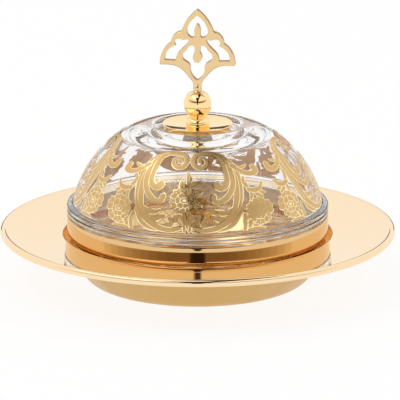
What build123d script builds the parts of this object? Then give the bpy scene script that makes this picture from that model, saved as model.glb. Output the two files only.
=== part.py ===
from build123d import *
import os
from math import cos, radians, sin, sqrt

# A covered dish for Turkish delight: a gilt brass plate with a deep well, a clear glass bowl that
# stands in the well, and a clear glass dome that lies on the bowl and lifts by a gilt knob.
# Millimetres, +Z up, origin in the middle of the plate's flat foot.  The finial is flat and lies in XZ.

# ---- the plate, spun from brass sheet
plate_r = 100.0          # over the rolled edge
plate_h = 27.7           # top of the rolled edge above the table
sheet = 1.2              # thickness of the sheet
roll_r = 1.8             # radius of the rolled edge
rim_fall = 2.7           # how much lower the rim is at the mouth than at the edge
mouth_r = 67.2           # inside of the well's mouth
mouth_round = 2.0        # rounding of the mouth's lip
foot_r = 54.6            # where the well's sloping wall would meet the table
foot_round = 9.6         # corner between the flat foot and the wall
well_neck_z = 17.7       # where the sloping wall turns upright
well_neck_round = 9.0

# ---- the glass bowl that stands in the well
bowl_gap = 1.2           # between the bowl and the mouth of the well
bowl_wall = 3.0
bowl_floor = 4.0
bowl_h = 36.7            # from the well's floor to the bowl's rim
bowl_base_inset = 7.6    # how far the bowl's base stays inside the well's foot
bowl_neck_z = 23.4       # where the bowl's wall turns upright, above its base
bowl_neck_round = 9.0
bowl_base_round = 7.0

# ---- the glass dome
flange_t = 2.2           # lip that lies on the bowl's rim
flange_w = 2.9           # how far the lip stands out from the dome
rib_gap = 0.4            # between the dome's locating rib and the bowl's mouth
rib_h = 3.0              # how far the rib reaches down into the bowl
dome_wall = 3.0
dome_h = 39.6            # from the dome's springing to its crest
dome_spring = 0.9        # springing above the lip
dome_lean = 12.9         # the wall's lean at the springing, in degrees
crest_r = 22.4           # radius of the raised crest on top
recess_depth = 2.95      # sunk seat for the knob inside the crest
recess_slope = 1.6       # width of the step down into the seat
crest_round = 1.0
lip_round = 0.8
glass_bevel = 0.6        # ground edges of bowl and dome
top_t = 3.2              # thickness of the glass under the seat
hole_r = 3.0             # hole through the glass

# ---- the knob, clamped through the glass by one stud
stud_r = 1.5
stud_gap = 0.05          # around the stud in tapped pieces
loose_gap = 0.15         # around the stud in bored pieces
gasket_t = 0.4           # clear pad between the glass and the saucer
gasket_r = 12.0
saucer_r = 17.85         # to the corner of its rim, before that is rounded
saucer_h = 3.15
saucer_t = 1.8           # under the bead
saucer_foot_r = 16.6     # where the saucer's side would meet its flat bottom
saucer_round = 1.6
saucer_land = 0.6        # width of its rim
saucer_rim_round = 0.25
hollow_r = 98.0          # radius of the sphere that its hollow is part of
bead_r = 5.95
bead_half_h = 3.7
bead_seat_drop = 1.5     # how far under the bead's middle its flat seat is
collar_r = 4.1           # neck between bead and ball
collar_z = 2.8           # joint between bead and ball, above the bead's middle
ball_r = 7.1
ball_rise = 6.8          # the ball's middle above the joint with the bead
ball_top = 6.1           # flat seat for the finial above the ball's middle
ball_cove = 1.0          # rounding between ball and neck

# ---- the openwork finial
finial_t = 3.4
finial_foot_r = 3.6
finial_neck_r = 2.1
finial_flare_h = 1.8
finial_neck_h = 4.2
finial_tap = 3.4         # depth of the tapped hole in its foot
finial_bevel = 0.3       # eased edges of its outline

# ---- what clamps the knob from inside the dome
bush_flange_r = 6.5
bush_flange_t = 1.0
bush_gap = 0.1           # between the bush and the hole in the glass
washer_r = 6.0
washer_t = 0.8
nut_across = 5.5
nut_hex_h = 2.4
nut_h = 5.5
nut_dome_r = 2.3
nut_wall = 1.0           # closed end of the cap nut

# ---- sizes that follow from those above
bowl_r = mouth_r - bowl_gap
bowl_base_z = sheet
bowl_top = bowl_base_z + bowl_h
bowl_base_r = foot_r - bowl_base_inset
bowl_in_r = bowl_r - bowl_wall
spring_z = bowl_top + flange_t + dome_spring
spring_r = bowl_r - flange_w - dome_spring * sin(radians(dome_lean))
crest_z = spring_z + dome_h
seat_z = crest_z - recess_depth
ceiling_z = seat_z - top_t
saucer_z = seat_z + gasket_t
bead_seat_z = saucer_z + saucer_t
bead_z = bead_seat_z + bead_seat_drop
joint_z = bead_z + collar_z
ball_z = joint_z + ball_rise
finial_z = ball_z + ball_top
washer_z = ceiling_z - bush_flange_t - washer_t
nut_z = washer_z - nut_h


# ------------------------------------------------------------------ helpers
def rounded(face, corners):
    """The flat face with each ((x, y), radius) corner rounded."""
    for point, radius in corners:
        corner = face.vertices().sort_by_distance(point)[0]
        face = face.fillet_2d(radius, [corner])
    return face


def bevelled(face, corners, size):
    """The flat face with each named corner cut off."""
    for point in corners:
        corner = face.vertices().sort_by_distance(point)[0]
        face = face.chamfer_2d(size, size, [corner])
    return face


def turned(face):
    """The solid that a face drawn as (radius, height) makes when it is turned about Z."""
    return revolve(Plane.XZ * face, Axis.Z)


def disc(radius, height, z):
    """A round disc or rod standing at z."""
    return Pos(0, 0, z) * extrude(Circle(radius), height)


def ring(outer_r, inner_r, height, z):
    """A flat ring standing at z."""
    return Pos(0, 0, z) * extrude(Circle(outer_r) - Circle(inner_r), height)


def sheet_face(line, thickness):
    """The face between a line and its own offset, on the line's left."""
    return make_face(Wire(line.edges()).offset_2d(thickness, side=Side.LEFT).edges())


def tangent_arcs(points, start_tangent):
    """A smooth chain of arcs through the points, leaving the first one along start_tangent."""
    chain = []
    tangent = start_tangent
    for a, b in zip(points, points[1:]):
        chain.append(TangentArc(a, b, tangent=tangent))
        tangent = chain[-1] % 1
    return chain


def mirrored_pair(face):
    """A face and its mirror image across the finial's middle line."""
    return Sketch() + [face, mirror(face, Plane.YZ)]


# ------------------------------------------------------------------ plate
def plate():
    """One spun sheet: flat foot, sloping well, rounded mouth, and a wide rim with a rolled edge."""
    neck_r = mouth_r + sheet
    roll_x, roll_z = plate_r - roll_r, plate_h - roll_r
    rim_x = roll_x - 0.5 * roll_r
    rim_z = roll_z + 0.8 * roll_r - sheet
    lip_z = plate_h - rim_fall - sheet
    underside = FilletPolyline(
        (0, 0), (foot_r, 0), (neck_r, well_neck_z), (neck_r, lip_z), (rim_x, rim_z),
        radius=[foot_round, well_neck_round, mouth_round - sheet],
    )
    return turned(sheet_face(underside, sheet) + Pos(roll_x, roll_z) * Circle(roll_r))


# ------------------------------------------------------------------ bowl
def glass_bowl():
    """Clear pressed glass, upright at the rim and drawn in below it to a flat base."""
    neck_z = bowl_base_z + bowl_neck_z
    outside = FilletPolyline(
        (0, bowl_base_z), (bowl_base_r, bowl_base_z), (bowl_r, neck_z), (bowl_r, bowl_top),
        radius=[bowl_base_round, bowl_neck_round],
    )
    face = sheet_face(outside, bowl_wall)
    thick_floor = Pos(bowl_base_r / 2, bowl_base_z + bowl_floor / 2) * Rectangle(bowl_base_r, bowl_floor)
    wall = turned(face)
    floor = turned(thick_floor) & turned(inside_of(outside))
    glass = wall + floor
    lips = glass.edges().filter_by(GeomType.CIRCLE).group_by(Axis.Z)[-1]
    return chamfer(lips, glass_bevel)


def inside_of(line):
    """The face between a turned outline and the axis."""
    top = line @ 1
    bottom = line @ 0
    return make_face(line.edges() + [Line(top, (0, top.Y)), Line((0, top.Y), bottom)])


# ------------------------------------------------------------------ dome
def dome_outside():
    """Three smooth arcs from the springing to the crest; the shares are the dome's own curve."""
    def at(across, up):
        return (crest_r + across * (spring_r - crest_r), spring_z + up * dome_h)
    lean = (-sin(radians(dome_lean)), cos(radians(dome_lean)))
    return tangent_arcs([at(1, 0), at(0.825, 0.4335), at(0.434, 0.858), at(0, 1)], lean)


def dome_inside(outside):
    """The outside curve moved in by the wall, then a tighter arc into the flat ceiling."""
    def inward(arc, end):
        place, along = arc @ end, arc % end
        return (place.X - dome_wall * along.Y, place.Y + dome_wall * along.X)
    points = [inward(outside[0], 0), inward(outside[1], 0), inward(outside[1], 1)]
    walls = tangent_arcs(points, outside[0] % 0)
    start, along = walls[-1] @ 1, walls[-1] % 1
    turn = Vector(-1, 0).get_angle(Vector(along.X, along.Y))
    corner_r = (ceiling_z - start.Y) / (1 - cos(radians(turn)))
    return walls + [JernArc(start, along, corner_r, turn)]


def glass_dome():
    """A thick-topped bowl turned over, with a lip, a locating rib and a sunk seat for the knob."""
    outside = dome_outside()
    inside = dome_inside(outside)
    spring, crest = outside[0] @ 0, outside[-1] @ 1
    foot, ceiling = inside[0] @ 0, inside[-1] @ 1
    lip_z = bowl_top + flange_t
    wall_r = bowl_r - flange_w
    rib_r = bowl_in_r - rib_gap
    rib_z = bowl_top - rib_h
    seat_r = crest_r - recess_slope
    step = Line(crest, (seat_r, seat_z))
    below = Polyline(
        (foot.X, foot.Y), (foot.X, rib_z), (rib_r, rib_z), (rib_r, bowl_top), (bowl_r, bowl_top),
        (bowl_r, lip_z), (wall_r, lip_z), (spring.X, spring.Y),
    )
    middle = Polyline((seat_r, seat_z), (hole_r, seat_z), (hole_r, ceiling_z), (ceiling.X, ceiling.Y))
    edges = outside + inside + [step] + below.edges() + middle.edges()
    face = rounded(make_face(edges).faces()[0], [
        ((crest.X, crest.Y), crest_round),
        ((bowl_r, lip_z), lip_round),
        ((wall_r, lip_z), lip_round),
    ])
    face = bevelled(face, [(foot.X, rib_z), (rib_r, rib_z), (bowl_r, bowl_top)], glass_bevel)
    return turned(face)


# ------------------------------------------------------------------ knob
def knob_saucer():
    """A small turned dish under the knob, with a shallow round hollow that is faced flat for the bead."""
    top_z = saucer_z + saucer_h
    side = FilletPolyline((0, saucer_z), (saucer_foot_r, saucer_z), (saucer_r, top_z), radius=[saucer_round])
    centre_z = top_z + sqrt(hollow_r ** 2 - (saucer_r - saucer_land) ** 2)
    hollow = Pos(0, 0, centre_z) * Sphere(hollow_r) & disc(2 * saucer_r, saucer_h, bead_seat_z)
    dish = turned(inside_of(side)) - hollow
    rim = dish.edges().filter_by(GeomType.CIRCLE).group_by(Axis.Z)[-1]
    return bored(fillet(rim, saucer_rim_round), stud_r + loose_gap, saucer_z, saucer_h)


def bored(solid, radius, z, height):
    """A solid with a hole up its axis."""
    return solid - disc(radius, height, z)


def block(inner_r, outer_r, low, high):
    """The flat rectangle between two radii and two heights."""
    return Pos((inner_r + outer_r) / 2, (low + high) / 2) * Rectangle(outer_r - inner_r, high - low)


def knob_bead():
    """A flattened bead with a flat seat below and a very short neck above."""
    bead = Pos(0, bead_z) * Ellipse(bead_r, bead_half_h)
    bead &= block(stud_r + loose_gap, 2 * bead_r, bead_seat_z, joint_z)
    bead += block(stud_r + loose_gap, collar_r, bead_z, joint_z)
    return turned(bead)


def knob_ball():
    """A ball with a flat seat on top for the finial, and below it a short neck that is coved into it."""
    ball = Pos(0, ball_z) * Circle(ball_r)
    ball &= block(stud_r + loose_gap, 2 * ball_r, joint_z, finial_z)
    ball += block(stud_r + loose_gap, collar_r, joint_z, ball_z)
    corner = (collar_r, ball_z - sqrt(ball_r ** 2 - collar_r ** 2))
    return turned(rounded(ball.faces()[0], [(corner, ball_cove)]))


# ------------------------------------------------------------------ finial
def finial_outline():
    """The palmette's outer shape: a pointed top lobe, two side lobes and a base swept to the neck."""
    top, first_notch, second_notch, corner = (0, 42.6), (8.2, 31.3), (13.4, 25.4), (18.9, 14.2)
    half = make_face([
        ThreePointArc(top, (4.95, 37.6), first_notch),
        ThreePointArc(first_notch, (11.9, 29.3), second_notch),
        ThreePointArc(second_notch, (17.1, 21.7), corner),
        Spline(corner, (8.5, 12.35), (3.35, 6.9), (finial_neck_r, 3.4), tangents=[(-1, 0), (0, -1)]),
        Line((finial_neck_r, 3.4), (finial_neck_r, finial_flare_h)),
        Line((finial_neck_r, finial_flare_h), (0, finial_flare_h)),
        Line((0, finial_flare_h), top),
    ])
    return mirrored_pair(half)


def finial_top_opening():
    """The pointed window in the top lobe, with the spear that stands up in it."""
    top, side, bottom = (0, 39.5), (5.3, 32.3), (2.7, 28.2)
    root, shoulder, spear = (1.5, 29.6), (1.5, 31.6), (0, 35.3)
    half = make_face([
        ThreePointArc(top, (3.55, 36.1), side),
        ThreePointArc(side, (4.8, 29.75), bottom),
        ThreePointArc(bottom, (1.8, 28.6), root),
        Line(root, shoulder),
        ThreePointArc(shoulder, (1.15, 33.6), spear),
        Line(spear, top),
    ])
    return mirrored_pair(half)


def finial_side_openings():
    """The lobed window on each side, between the outer frame and the inner one."""
    inner_top, cusp, outer_top, notch = (4.35, 27.3), (6.9, 26.8), (10.3, 27.4), (10.9, 24.1)
    outer_foot, inner_foot = (16.4, 16.5), (10.9, 16.3)
    window = make_face([
        ThreePointArc(inner_top, (5.6, 27.2), cusp),
        ThreePointArc(cusp, (8.6, 27.35), outer_top),
        ThreePointArc(outer_top, (11.45, 25.9), notch),
        ThreePointArc(notch, (14.9, 21.3), outer_foot),
        Line(outer_foot, inner_foot),
        Spline(inner_foot, (9.9, 19.9), (7.0, 23.0), inner_top),
    ])
    return mirrored_pair(window)


def finial_lower_opening():
    """The pointed window below, with the drop that hangs in it from the middle."""
    crown, widest, waist, foot = (2.8, 24.2), (7.6, 18.6), (3.65, 13.0), (0, 6.4)
    root, bulb_top, drop = (1.45, 22.6), (1.3, 20.6), (0, 15.2)
    half = make_face([
        Spline(crown, (5.45, 21.6), widest, tangents=[(1, 0), (0, -1)]),
        Spline(widest, (5.7, 15.9), waist, tangents=[(0, -1), (0, -1)]),
        ThreePointArc(waist, (3.0, 9.5), foot),
        Line(foot, drop),
        ThreePointArc(drop, (2.25, 17.6), bulb_top),
        Line(bulb_top, root),
        ThreePointArc(root, (1.75, 23.8), crown),
    ])
    return mirrored_pair(half)


def finial():
    """Cast palmette with its windows, eased at its outline, on a round foot that is tapped for the stud."""
    leaf = finial_outline() - finial_top_opening() - finial_side_openings() - finial_lower_opening()
    blade = extrude(Plane.XZ * leaf, finial_t / 2, both=True)
    outlines = ShapeList(
        edge for face in blade.faces().filter_by(Axis.Y) for edge in face.outer_wire().edges())
    blade = chamfer(outlines.filter_by(lambda edge: edge.center().Z > finial_neck_h), finial_bevel)
    flare = turned(make_face([
        Line((0, 0), (finial_foot_r, 0)),
        Spline((finial_foot_r, 0), (finial_neck_r, finial_flare_h), tangents=[(-1, 0.6), (0, 1)]),
        Line((finial_neck_r, finial_flare_h), (finial_neck_r, finial_neck_h)),
        Line((finial_neck_r, finial_neck_h), (0, finial_neck_h)),
        Line((0, finial_neck_h), (0, 0)),
    ]))
    piece = Pos(0, 0, finial_z) * (blade + flare)
    return bored(piece, stud_r + stud_gap, finial_z, finial_tap)


# ------------------------------------------------------------------ what clamps the knob
def knob_gasket():
    """A thin clear pad between the saucer and the glass."""
    return ring(gasket_r, hole_r, gasket_t, seat_z)


def stud():
    """The rod that runs from the cap nut to the finial's foot; its ends are bevelled."""
    low = nut_z + nut_wall + 0.5
    high = finial_z + finial_tap - 0.3
    rod = disc(stud_r, high - low, low)
    return chamfer(rod.edges().filter_by(GeomType.CIRCLE), 0.3)


def glass_bush():
    """A flanged bush that keeps the metal off the glass, pushed up from inside."""
    sleeve_h = top_t - bush_gap
    bush = ring(bush_flange_r, stud_r + loose_gap, bush_flange_t, ceiling_z - bush_flange_t)
    return bush + ring(hole_r - bush_gap, stud_r + loose_gap, sleeve_h, ceiling_z)


def washer():
    """The washer under the cap nut."""
    return ring(washer_r, stud_r + loose_gap, washer_t, washer_z)


def cap_nut():
    """A domed nut, closed below so that the stud's end doesn't show."""
    hexagon = RegularPolygon(nut_across / 2, 6, major_radius=False)
    nut = Pos(0, 0, washer_z - nut_hex_h) * extrude(hexagon, nut_hex_h)
    dome_z = nut_z + nut_dome_r
    nut += Pos(0, 0, dome_z) * (Sphere(nut_dome_r) + extrude(Circle(nut_dome_r), washer_z - dome_z))
    return bored(nut, stud_r + stud_gap, nut_z + nut_wall, nut_h)


# ------------------------------------------------------------------ write the parts
PARTS = {
    "plate": plate,
    "glass_bowl": glass_bowl,
    "glass_dome": glass_dome,
    "knob_gasket": knob_gasket,
    "knob_saucer": knob_saucer,
    "knob_bead": knob_bead,
    "knob_ball": knob_ball,
    "finial": finial,
    "stud": stud,
    "glass_bush": glass_bush,
    "washer": washer,
    "cap_nut": cap_nut,
}

os.makedirs("parts", exist_ok=True)
for name, make in PARTS.items():
    export_step(make(), f"parts/{name}.step")
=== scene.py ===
from math import acos, asin, atan2, cos, degrees, pi, radians, sin, sqrt, tan

import bmesh
import bpy
import numpy
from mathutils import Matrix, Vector
from mathutils.geometry import delaunay_2d_cdt


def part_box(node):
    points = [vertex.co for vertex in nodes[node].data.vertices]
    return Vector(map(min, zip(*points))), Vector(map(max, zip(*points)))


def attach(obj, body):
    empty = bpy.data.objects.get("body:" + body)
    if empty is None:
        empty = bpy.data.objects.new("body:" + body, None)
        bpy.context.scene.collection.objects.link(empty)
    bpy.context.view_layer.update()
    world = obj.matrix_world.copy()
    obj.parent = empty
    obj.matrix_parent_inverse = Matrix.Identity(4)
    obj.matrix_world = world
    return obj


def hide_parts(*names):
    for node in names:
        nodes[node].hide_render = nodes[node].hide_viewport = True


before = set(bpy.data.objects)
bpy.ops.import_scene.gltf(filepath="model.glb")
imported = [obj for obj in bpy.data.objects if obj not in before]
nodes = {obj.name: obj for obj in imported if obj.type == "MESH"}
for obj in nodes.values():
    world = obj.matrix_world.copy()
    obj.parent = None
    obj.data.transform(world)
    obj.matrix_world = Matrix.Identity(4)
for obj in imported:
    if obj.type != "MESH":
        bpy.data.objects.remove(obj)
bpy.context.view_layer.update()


# ---------------------------------------------------------------- the studio
# A white tent on a pale table.  The front of the tent has a tall dark slit for the lens, which gives the
# turned and polished metal its one dark line.  The open front on either side of it is dim and brown, and
# so is a low strip of the wall behind.
def srgb(red, green, blue):
    """A colour from 0 to 255, as it is read off a picture, as a linear one."""
    def linear(v):
        v /= 255
        return v / 12.92 if v <= 0.04045 else ((v + 0.055) / 1.055) ** 2.4
    return (linear(red), linear(green), linear(blue), 1.0)


def new_finish(name):
    """A new empty node material, its tree, and its output node."""
    made = bpy.data.materials.new(name)
    made.use_nodes = True
    tree = made.node_tree
    tree.nodes.clear()
    return made, tree, tree.nodes.new("ShaderNodeOutputMaterial")


def link(tree, a, a_socket, b, b_socket):
    tree.links.new(a.outputs[a_socket], b.inputs[b_socket])


def seen_ray(tree):
    """A socket that is 1 for a ray that looks at a thing, straight, in a mirror or through glass."""
    path = tree.nodes.new("ShaderNodeLightPath")
    socket = path.outputs["Is Camera Ray"]
    for kind in ("Is Glossy Ray", "Is Transmission Ray"):
        more = tree.nodes.new("ShaderNodeMath")
        more.operation = "MAXIMUM"
        tree.links.new(socket, more.inputs[0])
        link(tree, path, kind, more, 1)
        socket = more.outputs[0]
    return socket


def new_object(name, mesh):
    made = bpy.data.objects.new(name, mesh)
    bpy.context.scene.collection.objects.link(made)
    return made


def stage_mesh(name, corners, faces, finish):
    mesh = bpy.data.meshes.new(name)
    mesh.from_pydata(corners, [], faces)
    mesh.materials.append(finish)
    new_object(name, mesh)


view_turn = radians(5.9)          # the camera stands a little to the right of the finial's face
view_height = radians(15.22)
view_distance = 2.0
view_target_z = 0.0409
view_aside = 0.0012
across = Vector((cos(view_turn), sin(view_turn), 0))
front = Vector((sin(view_turn), -cos(view_turn), 0))
up = Vector((0, 0, 1))
towards = front * cos(view_height) + up * sin(view_height)
camera = bpy.data.objects.new("camera", bpy.data.cameras.new("camera"))
camera.data.lens = 356.1
camera.data.clip_end = 60
camera.location = across * view_aside + up * view_target_z + towards * view_distance
camera.rotation_euler = (-towards).to_track_quat("-Z", "Y").to_euler()
bpy.context.scene.collection.objects.link(camera)
bpy.context.scene.camera = camera
bpy.context.scene.view_settings.view_transform = "Standard"
bpy.context.scene.cycles.max_bounces = 24           # light runs to and fro inside thick glass
bpy.context.scene.cycles.diffuse_bounces = 8
bpy.context.scene.cycles.glossy_bounces = 16
bpy.context.scene.cycles.transmission_bounces = 24
bpy.context.scene.cycles.blur_glossy = 0.0          # glass stays clear for the light on what stands behind it

tent_light, tent_look = 0.8, 1.0    # how strongly the tent lights the dish, and how white it is to look at
world = bpy.data.worlds.new("tent")
bpy.context.scene.world = world
world.use_nodes = True
tree = world.node_tree
tree.nodes.clear()
out = tree.nodes.new("ShaderNodeOutputWorld")
lit = tree.nodes.new("ShaderNodeBackground")
shown = tree.nodes.new("ShaderNodeBackground")
for light, strength in ((lit, tent_light), (shown, tent_look)):
    light.inputs["Color"].default_value = (1, 1, 1, 1)
    light.inputs["Strength"].default_value = strength
choice = tree.nodes.new("ShaderNodeMixShader")
tree.links.new(seen_ray(tree), choice.inputs["Fac"])
link(tree, lit, 0, choice, 1)
link(tree, shown, 0, choice, 2)
link(tree, choice, 0, out, "Surface")

floor_half, floor_pale = 20.0, 0.8
floor_glow, glow_share = 1.12, 0.78          # the rest of the look is the matt floor, with its shadow
floor_finish, tree, out = new_finish("floor_pale")
matt = tree.nodes.new("ShaderNodeBsdfDiffuse")
matt.inputs["Color"].default_value = (floor_pale, floor_pale, floor_pale, 1)
glow = tree.nodes.new("ShaderNodeEmission")
glow.inputs["Strength"].default_value = floor_glow
mix = tree.nodes.new("ShaderNodeMixShader")
share = tree.nodes.new("ShaderNodeMath")
share.operation = "MULTIPLY"
share.inputs[1].default_value = glow_share
tree.links.new(seen_ray(tree), share.inputs[0])
link(tree, share, 0, mix, "Fac")
link(tree, matt, 0, mix, 1)
link(tree, glow, 0, mix, 2)
link(tree, mix, 0, out, "Surface")
stage_mesh("floor", [(-floor_half, -floor_half, 0), (floor_half, -floor_half, 0),
                     (floor_half, floor_half, 0), (-floor_half, floor_half, 0)], [(0, 1, 2, 3)], floor_finish)


def dark_gap(name, colour, places):
    """A strip of the tent's inside that is dark, through pairs of places that face each other across it."""
    finish, tree, out = new_finish(name)
    dim = tree.nodes.new("ShaderNodeEmission")
    dim.inputs["Color"].default_value = colour
    link(tree, dim, 0, out, "Surface")
    stage_mesh(name, [place for pair in places for place in pair],
               [(2 * i, 2 * i + 1, 2 * i + 3, 2 * i + 2) for i in range(len(places) - 1)], finish)


tent_r = 6.0
slit_edges = [(3, 2.5, 2.5), (15, 3.5, 3.5), (22, 6, 6), (30, 6, 6), (45, 9, 8), (60, 14, 12), (75, 21, 16),
              (90, 27, 20), (105, 27, 20), (118, 22, 16)]    # height, and how far left and right, in degrees
slit = []
for height, left, right in slit_edges:
    middle = (front * cos(radians(height)) + up * sin(radians(height))) * tent_r
    slit.append((middle - across * tent_r * tan(radians(left)), middle + across * tent_r * tan(radians(right))))
dark_gap("tent_slit", (0.03, 0.018, 0.008, 1), slit)


def wall_strip(azimuths, low, high, far=tent_r):
    """Pairs of places on an upright wall so far off, by their angles from the middle of the front and by
    the strip's low and high edge, all in degrees."""
    ways = [front * cos(radians(azimuth)) + across * sin(radians(azimuth)) for azimuth in azimuths]
    return [((way + up * tan(radians(low))) * far, (way + up * tan(radians(high))) * far) for way in ways]


dark_gap("far_horizon", (0.12, 0.085, 0.055, 1), wall_strip(range(160, 201, 4), 0.2, 9))
open_half, open_low, open_high, columns = 92, 18, 32, 12
for step in range(9):              # each strip is narrower, nearer and darker than the one behind it
    grey, half, far = 0.84 * 0.85 ** step, open_half - 8 * step, tent_r * (1.4 - 0.04 * step)
    dark_gap("open_front_%d" % step, (grey, grey ** 1.25, grey ** 1.6, 1),
             wall_strip([half * k / columns for k in range(-columns, columns + 1)], open_low, open_high, far))

softbox = bpy.data.objects.new("softbox", bpy.data.lights.new("softbox", "AREA"))
softbox.data.shape = "RECTANGLE"
softbox.data.size = 1.6
softbox.data.size_y = 1.2
softbox.data.energy = 6
softbox.location = (-0.5, -0.2, 1.8)
softbox.rotation_euler = (-softbox.location).to_track_quat("-Z", "Y").to_euler()
bpy.context.scene.collection.objects.link(softbox)


# ---------------------------------------------------------------- plate
# One disc of brass, spun over a former: a flat foot, a deep well, a rounded mouth and a wide rim with
# a rolled edge.  Gold plated all over, polished like a mirror on top and left satin underneath, where its
# gold is also painted darker: painted shade.
mm = 0.001
weld_gap = 2e-6                    # points that lie closer than this, in metres, are one


def turned_left(vector):
    return Vector((-vector.y, vector.x))


def rounded_run(points, radii, steps=12):
    """A line through points whose inner corners are rounded, as (point, left normal) pairs."""
    points = [Vector(p) for p in points]
    run = [(points[0], turned_left((points[1] - points[0]).normalized()))]
    for before, here, after, radius in zip(points, points[1:], points[2:], radii):
        into, away = (here - before).normalized(), (after - here).normalized()
        turn = atan2(into.x * away.y - into.y * away.x, into.dot(away))
        side = 1 if turn > 0 else -1
        normal = turned_left(into)
        centre = here - into * radius * tan(abs(turn) / 2) + normal * radius * side
        for i in range(steps + 1):
            angle = turn * i / steps
            facing = normal * cos(angle) + turned_left(normal) * sin(angle)
            run.append((centre - facing * radius * side, facing))
    run.append((points[-1], turned_left((points[-1] - points[-2]).normalized())))
    return run


def line_of(run, distance=0.0):
    """The points of a run, moved to its left by a distance."""
    return [tuple(point + normal * distance) for point, normal in run]


def arc(centre, radius, start, end, steps=10):
    """Points on a circle from one angle to another, in degrees, both ends included."""
    angles = [radians(start + (end - start) * i / steps) for i in range(steps + 1)]
    return [(centre[0] + radius * cos(a), centre[1] + radius * sin(a)) for a in angles]


def new_tree(name, sockets):
    """A Geometry Nodes group with a geometry in and out, and the named inputs."""
    tree = bpy.data.node_groups.new(name, "GeometryNodeTree")
    tree.interface.new_socket("Geometry", in_out="INPUT", socket_type="NodeSocketGeometry")
    for socket, kind in sockets:
        tree.interface.new_socket(socket, in_out="INPUT", socket_type=kind)
    tree.interface.new_socket("Geometry", in_out="OUTPUT", socket_type="NodeSocketGeometry")
    return tree, tree.nodes.new("NodeGroupInput"), tree.nodes.new("NodeGroupOutput")


def grown(source, tree, name, **inputs):
    """What the tree makes of the source, as a plain mesh object at the origin."""
    modifier = source.modifiers.new(tree.name, "NODES")
    modifier.node_group = tree
    for item in tree.interface.items_tree:
        key = item.name.replace(" ", "_").lower()
        if item.in_out == "INPUT" and key in inputs:
            modifier[item.identifier] = inputs[key]
    bpy.context.view_layer.update()
    evaluated = source.evaluated_get(bpy.context.evaluated_depsgraph_get())
    mesh = bpy.data.meshes.new_from_object(evaluated)
    mesh.name = name
    bpy.data.objects.remove(source)
    return new_object(name, mesh)


lathe, into, out = new_tree("Lathe", [
    ("Segments", "NodeSocketInt"), ("Pivot Radius", "NodeSocketFloat"), ("Finish", "NodeSocketMaterial")])
circle = lathe.nodes.new("GeometryNodeCurvePrimitiveCircle")
sweep = lathe.nodes.new("GeometryNodeCurveToMesh")
weld = lathe.nodes.new("GeometryNodeMergeByDistance")
weld.inputs["Distance"].default_value = weld_gap
real = lathe.nodes.new("GeometryNodeRealizeInstances")
paint = lathe.nodes.new("GeometryNodeSetMaterial")
link(lathe, into, "Segments", circle, "Resolution")
link(lathe, into, "Pivot Radius", circle, "Radius")
link(lathe, circle, "Curve", sweep, "Curve")
link(lathe, into, "Geometry", sweep, "Profile Curve")
link(lathe, sweep, "Mesh", weld, "Geometry")
link(lathe, weld, "Geometry", real, "Geometry")
link(lathe, real, "Geometry", paint, "Geometry")
link(lathe, into, "Finish", paint, "Material")
link(lathe, paint, "Geometry", out, "Geometry")


def smooth_shaded(mesh, crease):
    """Faces turned outwards and shaded smooth, but for edges sharper than the crease, in degrees."""
    shape = bmesh.new()
    shape.from_mesh(mesh)
    bmesh.ops.dissolve_degenerate(shape, dist=1e-7, edges=shape.edges)
    bmesh.ops.recalc_face_normals(shape, faces=shape.faces)
    shape.to_mesh(mesh)
    shape.free()
    mesh.polygons.foreach_set("use_smooth", [True] * len(mesh.polygons))
    mesh.set_sharp_from_angle(angle=radians(crease))


def flats_held(outline, flat=2.0, beside=0.25):
    """The outline with a point close to each end of a long flat, so that the flat is shaded flat."""
    held = []
    for here, there in zip(outline, outline[1:] + outline[:1]):
        here, there = Vector(here), Vector(there)
        length = (there - here).length
        held.append(here)
        if length > flat and max(here.x, there.x) > beside:
            held += [here.lerp(there, beside / length), there.lerp(here, beside / length)]
    return held


def turned(name, outline, finish, segments=240):
    """A closed outline of (radius, height) points in millimetres, turned about the upright axis."""
    outline = flats_held(outline)
    curve = bpy.data.curves.new(name, "CURVE")
    curve.dimensions = "3D"
    spline = curve.splines.new("POLY")
    spline.points.add(len(outline) - 1)
    spline.use_cyclic_u = True
    pivot = 20 * mm                # the circle that the outline is swept round
    for point, (radius, height) in zip(spline.points, outline):
        point.co = (radius * mm - pivot, -height * mm, 0, 1)
    made = grown(new_object(name + "_line", curve), lathe, name,
                 segments=segments, pivot_radius=pivot, finish=finish)
    smooth_shaded(made.data, crease=35)
    return made


def faces_out(face):
    """More than 0 for a face that looks away from the upright axis, less for one that looks at it."""
    return face.normal.x * face.center.x + face.normal.y * face.center.y


def gold(name, colour, rough, uneven, cloud_size=0.012, metallic=1.0):
    """Gold of one colour, whose polish is a little uneven in clouds of the given size, or with metallic 0
    the ground that it is laid on."""
    finish, tree, out = new_finish(name)
    metal = tree.nodes.new("ShaderNodeBsdfPrincipled")
    metal.inputs["Base Color"].default_value = colour
    metal.inputs["Metallic"].default_value = metallic
    where = tree.nodes.new("ShaderNodeTexCoord")
    cloud = tree.nodes.new("ShaderNodeTexNoise")
    cloud.inputs["Scale"].default_value = 1 / cloud_size
    cloud.inputs["Detail"].default_value = 4
    link(tree, where, "Object", cloud, "Vector")
    polish = tree.nodes.new("ShaderNodeMapRange")
    polish.inputs["From Min"].default_value = 0.3
    polish.inputs["From Max"].default_value = 0.7
    polish.inputs["To Min"].default_value = rough * (1 - uneven)
    polish.inputs["To Max"].default_value = rough * (1 + uneven)
    link(tree, cloud, "Fac", polish, "Value")
    link(tree, polish, "Result", metal, "Roughness")
    link(tree, metal, "BSDF", out, "Surface")
    return finish


gold_mirror = gold("gold_mirror", srgb(252, 224, 182), 0.05, 0.4)
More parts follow.
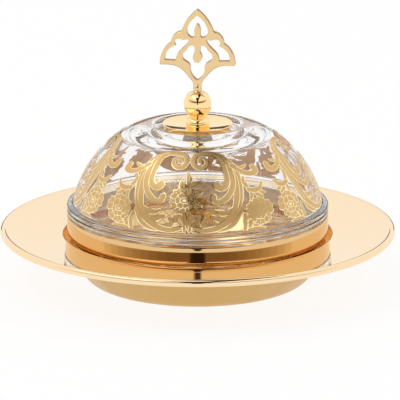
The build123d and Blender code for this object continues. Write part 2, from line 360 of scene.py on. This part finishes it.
# satin underneath, in a darker gold than the top's: painted shade on the underside
gold_satin = gold("gold_satin", srgb(212, 174, 112), 0.34, 0.15)
gold_well = gold("gold_well", srgb(248, 210, 146), 0.12, 0.3)      # darker and more orange than the rim's gold, painted shade in the well under the bowl, and a little rougher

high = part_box("plate")[1]
plate_r, plate_h = high.x / mm, high.z / mm
sheet, roll_r = 1.2, 1.8
mouth_r, rim_fall = 67.2, 2.7
foot_r, neck_z = 54.6, 17.7
foot_round, neck_round, mouth_round = 9.6, 9.0, 0.8
neck_r = mouth_r + sheet
lip_z = plate_h - rim_fall - sheet
roll = Vector((plate_r - roll_r, plate_h - roll_r))
rim_end = Vector((roll.x - 0.5 * roll_r, roll.y + 0.8 * roll_r - sheet))
rim_run = rounded_run([(0, 0), (foot_r, 0), (neck_r, neck_z), (neck_r, lip_z), rim_end],
                      [foot_round, neck_round, mouth_round])
rim_normal = rim_run[-1][1]
rim_angle = degrees(atan2(rim_normal.y, rim_normal.x))
rim_drop = (rim_end - roll).dot(rim_normal)
roll_in = rim_angle + degrees(acos(rim_drop / roll_r)) - 360
roll_out = rim_angle + degrees(acos((rim_drop + sheet) / roll_r))
plate_outline = (line_of(rim_run[:-1]) + arc(roll, roll_r, roll_in, roll_out, 40)
                 + line_of(rim_run[:-1], sheet)[::-1])
plate = turned("plate_spun", plate_outline, gold_mirror)
plate.data.materials.append(gold_satin)
plate.data.materials.append(gold_well)
for face in plate.data.polygons:
    away = face.center.xy.length / mm
    under = face.normal.z < -0.02 or (faces_out(face) > 0 and face.center.z < (lip_z + sheet / 2) * mm)
    if under and away < rim_end.x:
        face.material_index = 1
    elif not under and away < mouth_r + 0.1:
        face.material_index = 2
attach(plate, "plate")
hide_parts("plate")


# ---------------------------------------------------------------- glass bowl
# Clear pressed soda glass, upright at the rim and drawn in below to a flat base that stands in the
# plate's well.  The rim is fire polished, and the wall is drawn in a little at the gold band's top edge.
def plain_finish(name, settings):
    """A finish that is the same all over, from the settings of its shader's sockets."""
    finish, tree, out = new_finish(name)
    shader = tree.nodes.new("ShaderNodeBsdfPrincipled")
    for socket, value in settings.items():
        shader.inputs[socket].default_value = value
    link(tree, shader, "BSDF", out, "Surface")
    return finish


glass_clear = plain_finish("glass_clear", {"Base Color": (1, 1, 1, 1), "Roughness": 0.0, "IOR": 1.5,
                                           "Transmission Weight": 1.0})
hairline = 0.04                    # air left between faces that rest on each other
low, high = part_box("glass_bowl")
bowl_r, bowl_top, bowl_base_z = high.x / mm, high.z / mm, low.z / mm + hairline
bowl_wall, bowl_floor, bowl_base_r, bowl_neck_z = 3.0, 4.0, 47.0, 24.6
base_round, shoulder_round, fire_polish = 7.0, 9.0, 0.9
bowl_corners = [(0, bowl_base_z), (bowl_base_r, bowl_base_z), (bowl_r, bowl_neck_z), (bowl_r, bowl_top)]
bowl_run = rounded_run(bowl_corners, [base_round, shoulder_round])[:-1]
bowl_floor_z = bowl_base_z + bowl_floor
bowl_inside = [p for p in line_of(bowl_run, bowl_wall) if p[1] > bowl_floor_z + 0.1]
band_top, draw_h, draw_r = bowl_top - 3.6, 2.8, 8.0
draw_centre = (bowl_r - draw_r, band_top - draw_h)
drawn_in = arc(draw_centre, draw_r, 0, degrees(asin(draw_h / draw_r)), 8)
bowl_outline = (line_of(bowl_run) + drawn_in + [(bowl_r, band_top + 0.3)]
                + arc((bowl_r - fire_polish, bowl_top - fire_polish), fire_polish, 0, 90)
                + arc((bowl_r - bowl_wall + fire_polish, bowl_top - fire_polish), fire_polish, 90, 180)
                + bowl_inside[::-1] + [(bowl_inside[0][0] - 1.0, bowl_floor_z), (0, bowl_floor_z)])
bowl = turned("bowl_glass", bowl_outline, glass_clear)
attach(bowl, "bowl")
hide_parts("glass_bowl")


# ---------------------------------------------------------------- gold band
# Burnished gold, brushed round the bowl's upright outside and fired, from the neck to a little under the
# rim.  Its ground, seen through the glass, is pale and matt.
band_face, band_back = 0.07, 0.02            # off the glass
band_run = [pair for pair in bowl_run if pair[0].y > bowl_neck_z]
band_run += [(Vector(point), (Vector(draw_centre) - Vector(point)).normalized()) for point in drawn_in]
band = turned("gold_band", line_of(band_run, -band_face) + line_of(band_run, -band_back)[::-1],
              gold("gold_banded", srgb(230, 192, 136), 0.09, 0.3))
band.data.materials.append(gold("band_ground", srgb(250, 242, 226), 0.6, 0.1, metallic=0.0))
for face in band.data.polygons:
    if faces_out(face) < 0:
        face.material_index = 1
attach(band, "bowl")


# ---------------------------------------------------------------- glass dome
# A thick clear bowl turned over: a lip that lies on the lower bowl's rim, a rib that finds its mouth,
# a flat crown inside, and outside a raised ring round the sunk seat of the knob.
arc_steps = 14


def arc_run(start, heading, arcs, steps=arc_steps):
    """Arcs of (radius, turn in degrees), each smooth on the last, as (point, left normal) pairs."""
    run = []
    start = Vector(start)
    for radius, turn in arcs:
        normal = Vector((-sin(radians(heading)), cos(radians(heading))))
        centre = start + normal * radius
        for i in range(0 if not run else 1, steps + 1):
            angle = radians(turn * i / steps)
            facing = normal * cos(angle) + turned_left(normal) * sin(angle)
            run.append((centre - facing * radius, facing))
        start = run[-1][0]
        heading += turn
    return run


dome_wall, rib_h, rib_gap, lip_t = 3.0, 3.0, 0.4, 2.2
spring_r, spring_z, lean = 62.9, bowl_top + 3.1, 12.9
dome_arcs = [(55.9, 19.1), (58.8, 22.6), (30.4, 35.2)]        # from above the lip up to the crest
dome_run = arc_run((spring_r, spring_z), 90 + lean, dome_arcs)
crest = dome_run[-1][0]
seat_r, seat_sunk, seat_t, hole_r = 20.8, 2.95, 3.2, 3.0
seat = Vector((seat_r, crest.y - seat_sunk - hairline))
ceiling_z = seat.y - seat_t + 2 * hairline
crown_i = 2 * arc_steps            # where the second arc ends, the inside turns into the flat crown
crown_start = dome_run[crown_i][0] + dome_run[crown_i][1] * dome_wall
crown_turn = degrees(acos(-dome_run[crown_i][1].y))
crown_r = (ceiling_z - crown_start.y) / (1 - cos(radians(crown_turn)))
crown_run = arc_run(crown_start, 180 - crown_turn, [(crown_r, crown_turn)])
step_in = [(crest.x + (seat.x - crest.x) * t, crest.y + (seat.y - crest.y) * t * t * (3 - 2 * t))
           for t in (0.08, 0.16, 0.24, 0.34, 0.44, 0.54, 0.64, 0.74, 0.84, 0.92, 1.0)]
foot_in = spring_r - dome_wall * cos(radians(lean))
rib_z, rib_r, rib_round = bowl_top - rib_h, bowl_r - bowl_wall - rib_gap, 0.8
lip_low, lip_high = bowl_top + hairline, bowl_top + lip_t
lip_edge, lip_round, lip_cove = 0.5, 0.8, 1.0
dome_outline = (arc((foot_in + rib_round, rib_z + rib_round), rib_round, 180, 270, 6)
                + arc((rib_r - rib_round, rib_z + rib_round), rib_round, -90, 0, 6)
                + [(rib_r, lip_low)]
                + arc((bowl_r - lip_edge, lip_low + lip_edge), lip_edge, -90, 0, 6)
                + arc((bowl_r - lip_round, lip_high - lip_round), lip_round, 0, 90, 8)
                + arc((spring_r + 1.05, lip_high + lip_cove), lip_cove, 270, 195, 8)
                + line_of(dome_run[1:]) + step_in
                + [(hole_r, seat.y), (hole_r, ceiling_z)]
                + line_of(crown_run)[::-1] + line_of(dome_run[:crown_i], dome_wall)[::-1])
dome = turned("dome_glass", dome_outline, glass_clear)
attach(dome, "lid")
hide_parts("glass_dome")


# ---------------------------------------------------------------- gold print
# Burnished gold, screen printed and fired on the outside of the dome: four scrolled cartouches, each
# its own mirror image but for the spray in its middle, with a lattice behind and bright raised outlines.
strip_r = 60.0                     # the artwork is drawn flat, in millimetres round a drum of this radius
repeats = 4
half_repeat = pi * strip_r / repeats
print_turn = radians(1.1)          # the finial's face is that little off the middle of a cartouche
BARE, FILL, LINE = 0, 1, 2
line_w, vein_w, petal_vein_w, leaf_vein_w = 0.34, 0.3, 0.26, 0.24
layers = []                        # (outline, FILL or LINE), from the first that is laid down to the last


def smooth_line(knots, steps):
    """Points along a smooth curve through knots of any size, here (x, y, width)."""
    knots = [Vector(k) for k in knots]
    knots = [2 * knots[0] - knots[1]] + knots + [2 * knots[-1] - knots[-2]]
    line = []
    for a, b, c, d in zip(knots, knots[1:], knots[2:], knots[3:]):
        for i in range(steps):
            t = i / steps
            line.append(0.5 * (2 * b + (c - a) * t + (2 * a - 5 * b + 4 * c - d) * t ** 2
                               + (3 * b - a - 3 * c + d) * t ** 3))
    return line + [knots[-2]]


def stroke(knots, grow=0.0, steps=3):
    """The outline of a brush stroke through (x, y, width) knots, with round ends."""
    line = smooth_line(knots, steps)
    right, left = [], []
    for i, here in enumerate(line):
        along = (line[min(i + 1, len(line) - 1)].xy - line[max(i - 1, 0)].xy).normalized()
        side = Vector((along.y, -along.x)) * max(here.z / 2 + grow, 0.02)
        right.append(here.xy + side)
        left.append(here.xy - side)
    ends = []
    round_end = [pi * k / 5 for k in range(1, 5)]
    for middle, edge in ((line[-1].xy, right[-1]), (line[0].xy, left[0])):
        reach = edge - middle
        ends.append([middle + reach * cos(a) + turned_left(reach) * sin(a) for a in round_end])
    return [tuple(p) for p in right + ends[0] + left[::-1] + ends[1]]


def lay(outlines, both=True):
    """Lays down (outline, kind) pairs on the right of the cartouche, and mirrored on its left."""
    for side in (1, -1) if both else (1,):
        for outline, kind in outlines:
            layers.append(([(side * x, y) for x, y in outline], kind))


def lay_stroke(knots, both=True):
    lay([(stroke(knots, line_w), LINE), (stroke(knots), FILL)], both)


def lay_vein(knots, width=vein_w, both=True):
    lay([(stroke([(x, y, width) for x, y in knots]), LINE)], both)


def petal(middle, turn, reach, spread, grow=0.0, half_steps=6):
    """A ruffled petal: a wedge from the flower's middle that ends in three scallops."""
    outline = [tuple(Vector(middle) - Vector((cos(turn), sin(turn))) * grow)]
    for i in range(2 * half_steps + 1):
        share = i / half_steps - 1                       # from one side of the petal, -1, to the other, 1
        scallop = abs(cos(1.5 * pi * share)) ** 0.7
        far = reach * (0.88 - 0.1 * share ** 2 + 0.12 * scallop) + grow
        angle = turn + share * (spread + grow / reach)
        outline.append((middle[0] + far * cos(angle), middle[1] + far * sin(angle)))
    return outline


def lay_flower(middle, reach, petals, heart, both=True):
    """A flower of (direction, length share, spread) petals in degrees, with a shorter ring of the same
    petals in front of them, round an oval heart."""
    for shorter, turned_by in ((1.0, 0), (0.6, 33)):
        for turn, share, spread in petals:
            turn, spread, length = radians(turn + turned_by), radians(spread), reach * share * shorter
            lay([(petal(middle, turn, length, spread, line_w), LINE),
                 (petal(middle, turn, length, spread), FILL)], both)
            way = Vector((cos(turn), sin(turn)))
            if shorter == 1.0:
                lay_vein([Vector(middle) + way * length * k for k in (0.66, 0.76, 0.86)], petal_vein_w, both)
    angles = [2 * pi * k / 20 for k in range(20)]
    lay([([(middle[0] + 1.5 * size * cos(a), middle[1] + size * sin(a)) for a in angles], kind)
         for size, kind in ((heart, LINE), (heart - line_w, FILL), (heart * 0.4, LINE))], both)


# The lattice, in an oval behind the spray.
oval_x, oval_y, oval_mid = 23, 15.5, 15
lattice_slope, lattice_gap, lattice_w = 0.75, 4.5, 0.42
for slope in (lattice_slope, -lattice_slope):
    for step in range(-8, 9):
        bar = [(x / 2, slope * x / 2 + lattice_gap * step + oval_mid)
               for x in range(-2 * oval_x, 2 * oval_x + 1)]
        bar = [(x, y) for x, y in bar
               if (x / oval_x) ** 2 + ((y - oval_mid) / oval_y) ** 2 < 1 and 1 < y < 30]
        if len(bar) > 4:
            lay([(stroke([bar[0] + (lattice_w,), bar[-1] + (lattice_w,)], steps=1), FILL)], both=False)

# The cartouche's foot and outer leaf, then the long scroll that curls at the top and sweeps down its
# side, then the two leaves that part from it and curl inwards.
lay_stroke([(24, 5, 2), (18, 1.6, 2), (10, 0.9, 1.8), (3, 1.2, 1.6), (1, 3.4, 1.4)])
lay_stroke([(26.5, 10, 2.4), (22.5, 4.4, 3), (17, 2.4, 3.2), (11, 2.4, 2.6), (7.5, 4.2, 2), (8.3, 6.4, 1.8)])
lay_stroke([(28, 16, 2.4), (25, 9.6, 2.8), (20.5, 6.6, 2.8), (15.5, 6.2, 2.2), (12.2, 7.8, 1.6)])
lay_stroke([(26, 40, 2.5), (29, 33, 2.6), (29.6, 26, 2.4), (28.8, 19, 2.4), (26.6, 13.6, 2.4),
            (22.5, 10.4, 2.4), (17.5, 9.6, 2), (14, 10.8, 0.6)])
lay_stroke([(1.2, 0.8, 1.2), (1.5, 5, 1.7), (3.5, 8.2, 1.7), (5.8, 7.4, 1.5), (5.6, 5.4, 1.7)])
lay_stroke([(7, 41.3, 3.2), (6.3, 43.2, 2.2), (8.2, 44.4, 2), (10.2, 43.4, 2), (11.2, 40.8, 2.3),
            (10, 37.7, 2.6), (6.9, 36.2, 2.8), (3.6, 37.8, 3), (1.95, 42, 3.2), (4, 46.8, 3.4), (9, 48.6, 3.6),
            (15, 48.2, 4.2), (20.5, 45.2, 5.5), (25, 39.5, 6.6), (27.3, 33, 6.4), (27.8, 26, 5.6),
            (27, 18, 4.8), (24.5, 10.5, 4), (20, 5.5, 3), (14, 2.2, 2.4), (8, 1.2, 2), (3.5, 2.2, 1.6)])
lay_vein([(22.5, 44.5), (26.2, 38.5), (28.4, 31), (28.6, 24), (27.2, 15.5), (23.6, 8.6)])
lay_stroke([(22, 44, 3), (24.6, 38, 3.6), (25.6, 32, 3.2), (25.4, 26, 2.8), (23.6, 21, 2.8),
            (20.4, 17.2, 2.8), (16.5, 14.9, 2.6), (13.8, 15.8, 2.4), (13.4, 18, 3)])
lay_stroke([(17, 47, 2.5), (20.5, 43.5, 3.2), (21.8, 38, 3.4), (22.3, 32, 3), (22.3, 27.5, 2.8),
            (20.6, 23.8, 3.2), (17.6, 22.6, 3.4), (16, 24.4, 4.6)])

# Between two cartouches: a branch above, leaves round a stem, and a flower.
lay_stroke([(27.5, 37, 3.4), (30.5, 34.5, 3.2), (33.5, 31.5, 3), (38, 30, 3.2), (42, 31, 3.4), (41.6, 34, 4.4)])
lay_stroke([(31, 35.4, 0.6), (34.5, 35.2, 1.8), (37, 36.6, 0.8)])
lay_stroke([(32.5, 28.8, 0.8), (31.6, 26, 2), (33, 22.5, 2.2), (34.5, 19, 2), (34, 15, 1.6)])
for knots in ([(36, 20.4, 1.2), (38, 17.4, 2), (41, 15.8, 0.8)],
              [(37.6, 20.8, 1.2), (40.6, 18.4, 1.8), (43, 17.8, 0.7)],
              [(33.4, 20.6, 2.2), (37, 19.9, 2.6), (40.4, 20.6, 2.3), (42.9, 23.8, 1)],
              [(30.5, 0.6, 1.4), (31, 3, 1.8), (33.6, 4.6, 0.8)],
              [(32, 0.4, 1.4), (34.4, 2.4, 2), (37.8, 2.6, 0.8)],
              [(27.8, 0.4, 1.4), (28.6, 4, 2), (28.8, 8, 0.8)],
              [(30, 0.2, 1.6), (34, 0.5, 1.8), (38.5, 0.5, 0.6)]):
    lay_stroke(knots)
lay_flower((37, 8.7), 7.4, [(262, 0.92, 34), (322, 0.95, 32), (205, 0.9, 33), (15, 1.14, 30), (150, 1.0, 33),
                            (82, 1.0, 38)], 1.7)

# The spray in the cartouche's middle, which isn't mirrored: its tip, its leaves, its flower and its stem.
lay_stroke([(0.2, 26, 1), (-1, 24, 1.6), (-1.6, 20, 1.4)], both=False)
for knots in ([(-2, 21, 1.6), (-3.6, 24.6, 3.2), (-4.2, 27.8, 0.4)],
              [(-0.6, 23.6, 1), (2.6, 25.8, 2.8), (6.6, 27.4, 0.3)],
              [(-0.6, 25, 1.2), (0.2, 29.2, 2.8), (-0.9, 33.2, 0.8)],
              [(1, 16.4, 1), (3.6, 19.8, 3.2), (7, 20.6, 1)],
              [(1, 17, 1), (2, 20.4, 2.2), (2.4, 22.4, 0.6)],
              [(1, 15.2, 1), (4, 13.6, 3), (6.8, 12.6, 0.8)],
              [(1, 14.6, 1), (3.6, 15.8, 1.6), (5.6, 15.6, 0.6)]):
    lay_stroke(knots, both=False)
    lay_vein([k[:2] for k in knots], leaf_vein_w, both=False)
lay_flower((-1.8, 16), 7.2, [(300, 0.82, 32), (245, 0.92, 33), (190, 1.08, 33), (138, 1.12, 33),
                             (25, 0.66, 32), (82, 1.05, 34)], 1.7, both=False)
lay_stroke([(-1.6, 9.6, 1), (-0.8, 6, 1.2), (0.2, 2.2, 0.8)], both=False)


def within(xs, ys, outline):
    """Which of the places lie inside a closed outline, also where it runs over itself."""
    turns = numpy.zeros(len(xs), int)
    for (x0, y0), (x1, y1) in zip(outline, outline[1:] + outline[:1]):
        side = (x1 - x0) * (ys - y0) - (xs - x0) * (y1 - y0)
        turns += (y0 <= ys) & (y1 > ys) & (side > 0)
        turns -= ((y0 > ys) & (y1 <= ys) & (side < 0)).astype(int)
    return turns != 0


same_point = 1e-3                  # how close two points of the flat artwork are when they are one


def flat_print(cell=3.0, top=51.0):
    """The points and the flat triangles, each of one kind, of one cartouche's artwork.  A grid of small
    cells is laid under it, so that the triangles are small enough to follow the dome."""
    points, edges = [], []

    def add(outline, closed):
        first = len(points)
        points.extend(Vector(p) for p in outline)
        edges.extend((first + i, first + i + 1) for i in range(len(outline) - 1))
        if closed:
            edges.append((len(points) - 1, first))

    columns = int(half_repeat / cell)
    for x in [-half_repeat, half_repeat] + [cell * i for i in range(-columns, columns + 1)]:
        add([(x, -1.0), (x, top)], False)
    for row in range(int(top / cell) + 1):
        add([(-half_repeat, cell * row - 0.3), (half_repeat, cell * row - 0.3)], False)
    for outline, _ in layers:
        add(outline, True)
    points, _, triangles, *_ = delaunay_2d_cdt(points, edges, [], 0, same_point, False)
    corners = numpy.array([tuple(p) for p in points])
    middles = corners[numpy.array(triangles)].mean(axis=1)
    kinds = numpy.full(len(triangles), BARE)
    for outline, kind in layers:
        lows, highs = numpy.min(outline, axis=0), numpy.max(outline, axis=0)
        near = numpy.nonzero(((middles >= lows) & (middles <= highs)).all(axis=1))[0]
        kinds[near[within(middles[near, 0], middles[near, 1], outline)]] = kind
    kinds[numpy.abs(middles[:, 0]) > half_repeat] = BARE
    return points, [(tuple(t), int(k)) for t, k in zip(triangles, kinds) if k != BARE]


glass_line = arc_run((spring_r, spring_z), 90 + lean, dome_arcs, 60)
climbs = [0.0]                     # how far up the flat artwork each point of that line is
for (low_point, _), (high_point, _) in zip(glass_line, glass_line[1:]):
    climbs.append(climbs[-1] + strip_r * (high_point - low_point).length * 2 / (low_point.x + high_point.x))


def on_dome(x, y, above):
    """Where a point of the flat artwork lies on the dome, so far above its glass, in metres."""
    share = numpy.interp(y, climbs, range(len(climbs)))
    i = min(int(share), len(climbs) - 2)
    point, facing = (glass_line[i][k].lerp(glass_line[i + 1][k], share - i) for k in (0, 1))
    point = (point - facing * above) * mm
    angle = x / strip_r + print_turn
    return (point.x * sin(angle), -point.x * cos(angle), point.y)


gold_proud, gold_rim, gold_sunk = 0.08, 0.05, 0.02     # the gold's face, its edge and its back, off the glass
points, printed = flat_print()
uses = {}
for (a, b, c), _ in printed:
    for edge in ((a, b), (b, c), (c, a)):
        uses.setdefault(tuple(sorted(edge)), []).append(edge)
at_seam = {i for i, p in enumerate(points) if abs(abs(p.x) - half_repeat) < same_point}
rims = [found[0] for found in uses.values() if len(found) == 1 and not at_seam.issuperset(found[0])]
at_rim = {i for edge in rims for i in edge}
used = sorted({i for corners, _ in printed for i in corners})
front_of = {point: i for i, point in enumerate(used)}
corners = [on_dome(*points[i], gold_rim if i in at_rim else gold_proud) for i in used]
corners += [on_dome(*points[i], gold_sunk) for i in used]
faces = [tuple(front_of[i] for i in t) for t, _ in printed]
faces += [tuple(len(used) + front_of[i] for i in reversed(t)) for t, _ in printed]
faces += [(front_of[b], front_of[a], len(used) + front_of[a], len(used) + front_of[b]) for a, b in rims]
kinds = [kind for _, kind in printed] + [BARE] * (len(printed) + len(rims))
cartouche = bpy.data.meshes.new("cartouche")
cartouche.from_pydata(corners, [], faces)
cartouche.attributes.new("kind", "INT", "FACE").data.foreach_set("value", kinds)

gold_printed = gold("gold_printed", srgb(220, 182, 124), 0.38, 0.12, 0.004)
gold_outline = gold("gold_outline", srgb(255, 238, 190), 0.08, 0.2, 0.004)
gold_behind = gold("gold_behind", srgb(224, 190, 152), 0.6, 0.1, 0.004, metallic=0.0)   # the flux side, matt
ring, into, out = new_tree("Print Ring", [
    ("Repeats", "NodeSocketInt"), ("Fill", "NodeSocketMaterial"), ("Line", "NodeSocketMaterial"),
    ("Behind", "NodeSocketMaterial")])
places = ring.nodes.new("GeometryNodePoints")
index = ring.nodes.new("GeometryNodeInputIndex")
part_of = ring.nodes.new("ShaderNodeMath")
part_of.operation = "DIVIDE"
angle_of = ring.nodes.new("ShaderNodeMath")
angle_of.operation = "MULTIPLY"
angle_of.inputs[1].default_value = 2 * pi
about_z = ring.nodes.new("ShaderNodeCombineXYZ")
copies = ring.nodes.new("GeometryNodeInstanceOnPoints")
real = ring.nodes.new("GeometryNodeRealizeInstances")
weld = ring.nodes.new("GeometryNodeMergeByDistance")
weld.inputs["Distance"].default_value = weld_gap
link(ring, into, "Repeats", places, "Count")
link(ring, index, 0, part_of, 0)
link(ring, into, "Repeats", part_of, 1)
link(ring, part_of, 0, angle_of, 0)
link(ring, angle_of, 0, about_z, "Z")
link(ring, places, 0, copies, "Points")
link(ring, into, "Geometry", copies, "Instance")
link(ring, about_z, 0, copies, "Rotation")
link(ring, copies, 0, real, 0)
link(ring, real, 0, weld, 0)
last = weld
for kind, socket in ((BARE, "Behind"), (FILL, "Fill"), (LINE, "Line")):
    of_kind = ring.nodes.new("GeometryNodeInputNamedAttribute")
    of_kind.data_type = "INT"
    of_kind.inputs["Name"].default_value = "kind"
    same = ring.nodes.new("FunctionNodeCompare")
    same.data_type = "INT"
    same.operation = "EQUAL"
    same.inputs[3].default_value = kind          # inputs 2 and 3 are the whole numbers A and B
    paint = ring.nodes.new("GeometryNodeSetMaterial")
    link(ring, of_kind, 0, same, 2)
    link(ring, last, 0, paint, "Geometry")
    link(ring, same, 0, paint, "Selection")
    link(ring, into, socket, paint, "Material")
    last = paint
link(ring, last, 0, out, "Geometry")
dome_print = grown(new_object("cartouche", cartouche), ring, "gold_print",
                   repeats=repeats, fill=gold_printed, line=gold_outline, behind=gold_behind)
smooth_shaded(dome_print.data, crease=40)
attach(dome_print, "lid")


# ---------------------------------------------------------------- knob
# Saucer, bead and ball are turned brass, gold plated and polished, in a stack on one stud.  The saucer is
# hollow on top, but for a flat round the bead, and the ball grows out of a collar as wide as the bead's.
gold_bright = gold("gold_bright", srgb(255, 226, 168), 0.05, 0.3, 0.006)

bore_r = 1.65
low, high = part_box("knob_saucer")
saucer_z, saucer_top, seat_up = low.z / mm, high.z / mm, 1.8
saucer_foot_r, saucer_corner_r, saucer_land, hollow_r = 16.6, 17.85, 0.6, 98.0
saucer_foot_round, saucer_edge_round = 1.6, 0.25
hollow_edge = saucer_corner_r - saucer_land
hollow_z = saucer_top + sqrt(hollow_r ** 2 - hollow_edge ** 2)
hollow_start = degrees(asin((hollow_edge - 0.4) / hollow_r))
hollow_end = degrees(acos((hollow_z - saucer_z - seat_up) / hollow_r))      # where the flat for the bead begins
hollow = arc((0, hollow_z), hollow_r, 270 + hollow_start, 270 + hollow_end, 24)
saucer_run = rounded_run([(bore_r, saucer_z), (saucer_foot_r, saucer_z), (saucer_corner_r, saucer_top),
                          (hollow_edge, saucer_top), hollow[0]],
                         [saucer_foot_round, saucer_edge_round, saucer_edge_round], 6)
saucer_outline = line_of(saucer_run[:-1]) + hollow + [(bore_r, saucer_z + seat_up)]
saucer = turned("saucer_turned", saucer_outline, gold_bright, 160)

low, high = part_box("knob_bead")
bead_r, bead_low, joint_z = high.x / mm, low.z / mm, high.z / mm
bead_drop, bead_half, collar_r = 1.5, 3.7, 4.1
bead_z = bead_low + bead_drop
bead_side = [(x, bead_z + (z - bead_z) * bead_half / bead_r)
             for x, z in arc((0, bead_z), bead_r, -degrees(asin(bead_drop / bead_half)),
                             degrees(acos(collar_r / bead_r)), 30)]
bead_outline = [(bore_r, bead_low + hairline)] + bead_side + [(collar_r, joint_z), (bore_r, joint_z)]
bead = turned("bead_turned", bead_outline, gold_bright, 120)

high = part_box("knob_ball")[1]
ball_r, ball_top, ball_up, cove_r = high.x / mm, high.z / mm, 6.8, 1.0
ball_z = joint_z + ball_up
cove_drop = sqrt((ball_r + cove_r) ** 2 - (collar_r + cove_r) ** 2)
cove_turn = degrees(atan2(cove_drop, collar_r + cove_r))
ball_side = (arc((collar_r + cove_r, ball_z - cove_drop), cove_r, 180, 180 - cove_turn, 8)
             + arc((0, ball_z), ball_r, -cove_turn, degrees(asin((ball_top - ball_z) / ball_r)), 40)[1:])
ball_outline = [(bore_r, joint_z), (collar_r, joint_z)] + ball_side + [(bore_r, ball_top)]
ball = turned("ball_turned", ball_outline, gold_bright, 120)
for piece, node in ((saucer, "knob_saucer"), (bead, "knob_bead"), (ball, "knob_ball")):
    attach(piece, "lid")
    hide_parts(node)


# ---------------------------------------------------------------- finial
# A flat palmette, sand cast in brass with its windows, its face left a little grainy from the sand and
# the walls round its edge and windows unpolished, then gold plated.  The walls' gold is also painted dark
# brown: painted shade.  Its round foot screws on the stud.
gold_cast = gold("gold_cast", srgb(238, 206, 154), 0.2, 0.3, 0.002)


def merged_copy(name, node, finish, crease):
    """The node's own mesh with its loose triangles joined, in a new finish."""
    made = new_object(name, nodes[node].data.copy())
    shape = bmesh.new()
    shape.from_mesh(made.data)
    bmesh.ops.remove_doubles(shape, verts=shape.verts, dist=weld_gap)
    bmesh.ops.dissolve_limit(shape, angle_limit=radians(0.5), verts=shape.verts, edges=shape.edges)
    shape.to_mesh(made.data)
    shape.free()
    made.data.materials.clear()
    made.data.materials.append(finish)
    smooth_shaded(made.data, crease)
    return made


finial = merged_copy("finial_cast", "finial", gold_cast, 25)
# the walls: rough as unpolished metal, and painted a dark brown gold as painted shade
finial.data.materials.append(gold("gold_unpolished", srgb(176, 124, 66), 0.36, 0.2, 0.002))
foot_h = 5.5
foot_top_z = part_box("finial")[0].z + foot_h * mm
for face in finial.data.polygons:
    is_wall = abs(face.normal.y) < 0.5
    if is_wall and face.center.z > foot_top_z:
        face.material_index = 1
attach(finial, "lid")
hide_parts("finial")


# ---------------------------------------------------------------- what clamps the knob
# A threaded steel stud through the glass, with a clear pad above and a flanged clear bush below, and a
# washer and a domed nut inside the dome, gold plated as the knob is.
soft_clear = plain_finish("soft_clear", {"Base Color": (0.74, 0.66, 0.57, 1), "Roughness": 0.3,
                                         "Transmission Weight": 0.2})
steel = plain_finish("stud_steel", {"Base Color": (0.55, 0.53, 0.5, 1), "Roughness": 0.3, "Metallic": 1.0})
for name, finish, slot in (("washer", gold_bright, "gold"), ("cap_nut", gold_bright, "gold"),
                           ("stud", steel, "steel"), ("knob_gasket", soft_clear, "clear_pad"),
                           ("glass_bush", soft_clear, "clear_pad")):
    piece = merged_copy(name + "_smooth", name, finish, 30)
    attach(piece, "lid")
    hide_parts(name)
